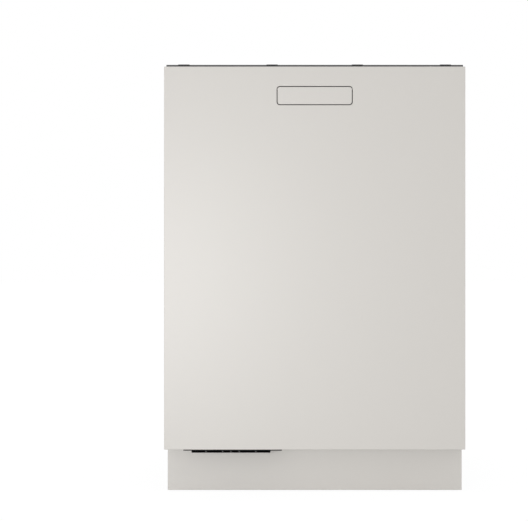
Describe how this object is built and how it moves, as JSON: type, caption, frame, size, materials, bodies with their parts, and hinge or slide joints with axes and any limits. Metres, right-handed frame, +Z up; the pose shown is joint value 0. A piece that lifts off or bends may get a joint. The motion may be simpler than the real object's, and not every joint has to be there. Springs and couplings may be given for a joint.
{
  "type": "dishwasher",
  "caption": "Built-under dishwasher with a plain drop-down door, recessed flap handle, sliding racks and spray arms",
  "frame": {"origin": "on the floor under the centre of the machine's width and depth", "axes": "+Z up, the door faces -Y, +X to the right when facing the door"},
  "size_m": [0.596, 0.559, 0.8582],
  "materials": {
    "door_finish": "satin warm light grey lacquer",
    "stainless": "brushed",
    "galvanised": "matt zinc",
    "spring_steel": "oiled",
    "rail_steel": "satin",
    "rack_coating": "smooth coating on wire",
    "grey_plastic": "fine satin",
    "cap_blue": "fine satin",
    "dark_plastic": "fine grain",
    "black_plastic": "fine grain",
    "button_plastic": "polished",
    "base_plastic": "moulded",
    "clear_plastic": "milky",
    "seal_rubber": "matt",
    "felt": "pressed felt",
    "circuit_board": "coated"
  },
  "bodies": {
    "cabinet": {"base_frame": "base_plastic", "circulation_pump": "base_plastic", "drain_pump": "base_plastic", "inlet_valve": "base_plastic", "salt_tank": "clear_plastic", "inlet_chamber": "clear_plastic", "sump": "base_plastic", "fine_filter": "stainless", "feed_pipe": "grey_plastic", "hinge_plates": "galvanised", "latch_striker": "stainless", "plinth_panel": "door_finish", "rear_panel": "galvanised", "side_panel_left": "galvanised", "side_panel_right": "galvanised", "top_panel": "galvanised", "worktop_strip": "black_plastic", "tub": "stainless", "tub_gasket": "seal_rubber", "tub_insulation": "felt", "upper_rail_outer": "rail_steel", "tray_rail_outer": "rail_steel", "door_springs": "spring_steel"},
    "door": {"front_panel": "door_finish", "handle_pocket": "dark_plastic", "inner_door": "stainless", "control_fascia": "dark_plastic", "control_board": "circuit_board", "latch_case": "dark_plastic", "dispenser_body": "grey_plastic", "door_bottom_seal": "seal_rubber", "hinge_arms": "galvanised", "vent_duct": "dark_plastic", "vent_outlet": "black_plastic"},
    "upper_rack": {"upper_rack": "rack_coating", "upper_rail_inner": "rail_steel", "upper_arm_feed": "grey_plastic"},
    "handle_flap": {"handle_flap": "door_finish"},
    "dispenser_lid": {"dispenser_lid": "grey_plastic"},
    "rinse_aid_cap": {"rinse_aid_cap": "cap_blue"},
    "button_power": {"button_power": "button_plastic"},
    "button_program": {"button_program": "button_plastic"},
    "button_options": {"button_options": "button_plastic"},
    "button_start": {"button_start": "button_plastic"},
    "lower_rack": {"lower_rack": "rack_coating"},
    "folding_tines": {"folding_tines": "rack_coating"},
    "lower_front_wheels": {"lower_front_wheels": "grey_plastic"},
    "lower_rear_wheels": {"lower_rear_wheels": "grey_plastic"},
    "cup_shelf": {"cup_shelf": "grey_plastic"},
    "upper_rail_middle": {"upper_rail_middle": "rail_steel"},
    "cutlery_tray": {"cutlery_tray": "rack_coating"},
    "lower_spray_arm": {"lower_spray_arm": "grey_plastic"},
    "upper_spray_arm": {"upper_spray_arm": "grey_plastic"},
    "top_spray_arm": {"top_spray_arm": "grey_plastic"},
    "coarse_filter": {"coarse_filter": "grey_plastic"},
    "salt_cap": {"salt_cap": "grey_plastic"},
    "foot_front_left": {"foot_front_left": "black_plastic"},
    "foot_front_right": {"foot_front_right": "black_plastic"},
    "foot_rear_left": {"foot_rear_left": "black_plastic"},
    "foot_rear_right": {"foot_rear_right": "black_plastic"}
  },
  "joints": [
    {"name": "door_hinge", "type": "hinge", "parent": "cabinet", "child": "door", "pos_m": [0, -0.2495, 0.113], "axis": [1, 0, 0], "range_deg": [0, 90], "stiffness_Nm_per_rad": 17, "deforming": ["door_springs"]},
    {"name": "handle_flap_pivot", "type": "hinge", "parent": "door", "child": "handle_flap", "pos_m": [0, -0.2735, 0.80725], "axis": [1, 0, 0], "range_deg": [0, 50], "stiffness_Nm_per_rad": 0.3},
    {"name": "dispenser_lid_slide", "type": "slide", "parent": "door", "child": "dispenser_lid", "axis": [0, 0, 1], "range_m": [0, 0.062]},
    {"name": "rinse_aid_cap_turn", "type": "hinge", "parent": "door", "child": "rinse_aid_cap", "pos_m": [0.044, -0.2295, 0.501], "axis": [0, 1, 0], "range_deg": [0, 90]},
    {"name": "lower_rack_slide", "type": "slide", "parent": "cabinet", "child": "lower_rack", "axis": [0, -1, 0], "range_m": [0, 0.19]},
    {"name": "lower_front_wheel_roll", "type": "hinge", "parent": "lower_rack", "child": "lower_front_wheels", "pos_m": [0, -0.0875, 0.1623], "axis": [1, 0, 0], "range_deg": [0, 570]},
    {"name": "lower_rear_wheel_roll", "type": "hinge", "parent": "lower_rack", "child": "lower_rear_wheels", "pos_m": [0, 0.1625, 0.1623], "axis": [1, 0, 0], "range_deg": [0, 570]},
    {"name": "folding_tines_fold", "type": "hinge", "parent": "lower_rack", "child": "folding_tines", "pos_m": [0, -0.0355, 0.1951], "axis": [1, 0, 0], "range_deg": [0, 85]},
    {"name": "upper_rack_slide", "type": "slide", "parent": "cabinet", "child": "upper_rack", "axis": [0, -1, 0], "range_m": [0, 0.44]},
    {"name": "upper_rail_slide", "type": "slide", "parent": "cabinet", "child": "upper_rail_middle", "axis": [0, -1, 0], "range_m": [0, 0.22]},
    {"name": "cup_shelf_fold", "type": "hinge", "parent": "upper_rack", "child": "cup_shelf", "pos_m": [-0.2261, 0.0165, 0.534], "axis": [0, -1, 0], "range_deg": [0, 85]},
    {"name": "cutlery_tray_slide", "type": "slide", "parent": "cabinet", "child": "cutlery_tray", "axis": [0, -1, 0], "range_m": [0, 0.3]},
    {"name": "lower_arm_spin", "type": "hinge", "parent": "cabinet", "child": "lower_spray_arm", "pos_m": [0, 0.0185, 0.15], "axis": [0, 0, 1], "continuous": true},
    {"name": "upper_arm_spin", "type": "hinge", "parent": "upper_rack", "child": "upper_spray_arm", "pos_m": [0, 0.0185, 0.405], "axis": [0, 0, 1], "continuous": true},
    {"name": "top_arm_spin", "type": "hinge", "parent": "cabinet", "child": "top_spray_arm", "pos_m": [0, 0.0185, 0.815], "axis": [0, 0, 1], "continuous": true},
    {"name": "coarse_filter_turn", "type": "hinge", "parent": "cabinet", "child": "coarse_filter", "pos_m": [0.045, -0.0165, 0.122], "axis": [0, 0, 1], "range_deg": [0, 90]},
    {"name": "salt_cap_turn", "type": "hinge", "parent": "cabinet", "child": "salt_cap", "pos_m": [-0.165, -0.0975, 0.122], "axis": [0, 0, 1], "range_deg": [0, 360]},
    {"name": "foot_front_left_screw", "type": "hinge", "parent": "cabinet", "child": "foot_front_left", "pos_m": [-0.24, -0.1815, 0.03], "axis": [0, 0, 1], "continuous": true},
    {"name": "foot_rear_left_screw", "type": "hinge", "parent": "cabinet", "child": "foot_rear_left", "pos_m": [-0.24, 0.2205, 0.03], "axis": [0, 0, 1], "continuous": true},
    {"name": "foot_front_right_screw", "type": "hinge", "parent": "cabinet", "child": "foot_front_right", "pos_m": [0.24, -0.1815, 0.03], "axis": [0, 0, 1], "continuous": true},
    {"name": "foot_rear_right_screw", "type": "hinge", "parent": "cabinet", "child": "foot_rear_right", "pos_m": [0.24, 0.2205, 0.03], "axis": [0, 0, 1], "continuous": true},
    {"name": "button_power_press", "type": "slide", "parent": "door", "child": "button_power", "axis": [0, 0, -1], "range_m": [0, 0.001], "stiffness_N_per_m": 250, "springref_m": -0.002},
    {"name": "button_program_press", "type": "slide", "parent": "door", "child": "button_program", "axis": [0, 0, -1], "range_m": [0, 0.001], "stiffness_N_per_m": 250, "springref_m": -0.002},
    {"name": "button_options_press", "type": "slide", "parent": "door", "child": "button_options", "axis": [0, 0, -1], "range_m": [0, 0.001], "stiffness_N_per_m": 250, "springref_m": -0.002},
    {"name": "button_start_press", "type": "slide", "parent": "door", "child": "button_start", "axis": [0, 0, -1], "range_m": [0, 0.001], "stiffness_N_per_m": 250, "springref_m": -0.002}
  ],
  "couplings": [
    {"joint": "lower_rack_slide", "follows": "door_hinge", "m_per_rad": 0.12},
    {"joint": "lower_front_wheel_roll", "follows": "door_hinge", "ratio": 6.3158},
    {"joint": "lower_rear_wheel_roll", "follows": "door_hinge", "ratio": 6.3158},
    {"joint": "upper_rack_slide", "follows": "door_hinge", "m_per_rad": 0.28},
    {"joint": "upper_rail_slide", "follows": "door_hinge", "m_per_rad": 0.14},
    {"joint": "cutlery_tray_slide", "follows": "door_hinge", "m_per_rad": 0.19}
  ]
}
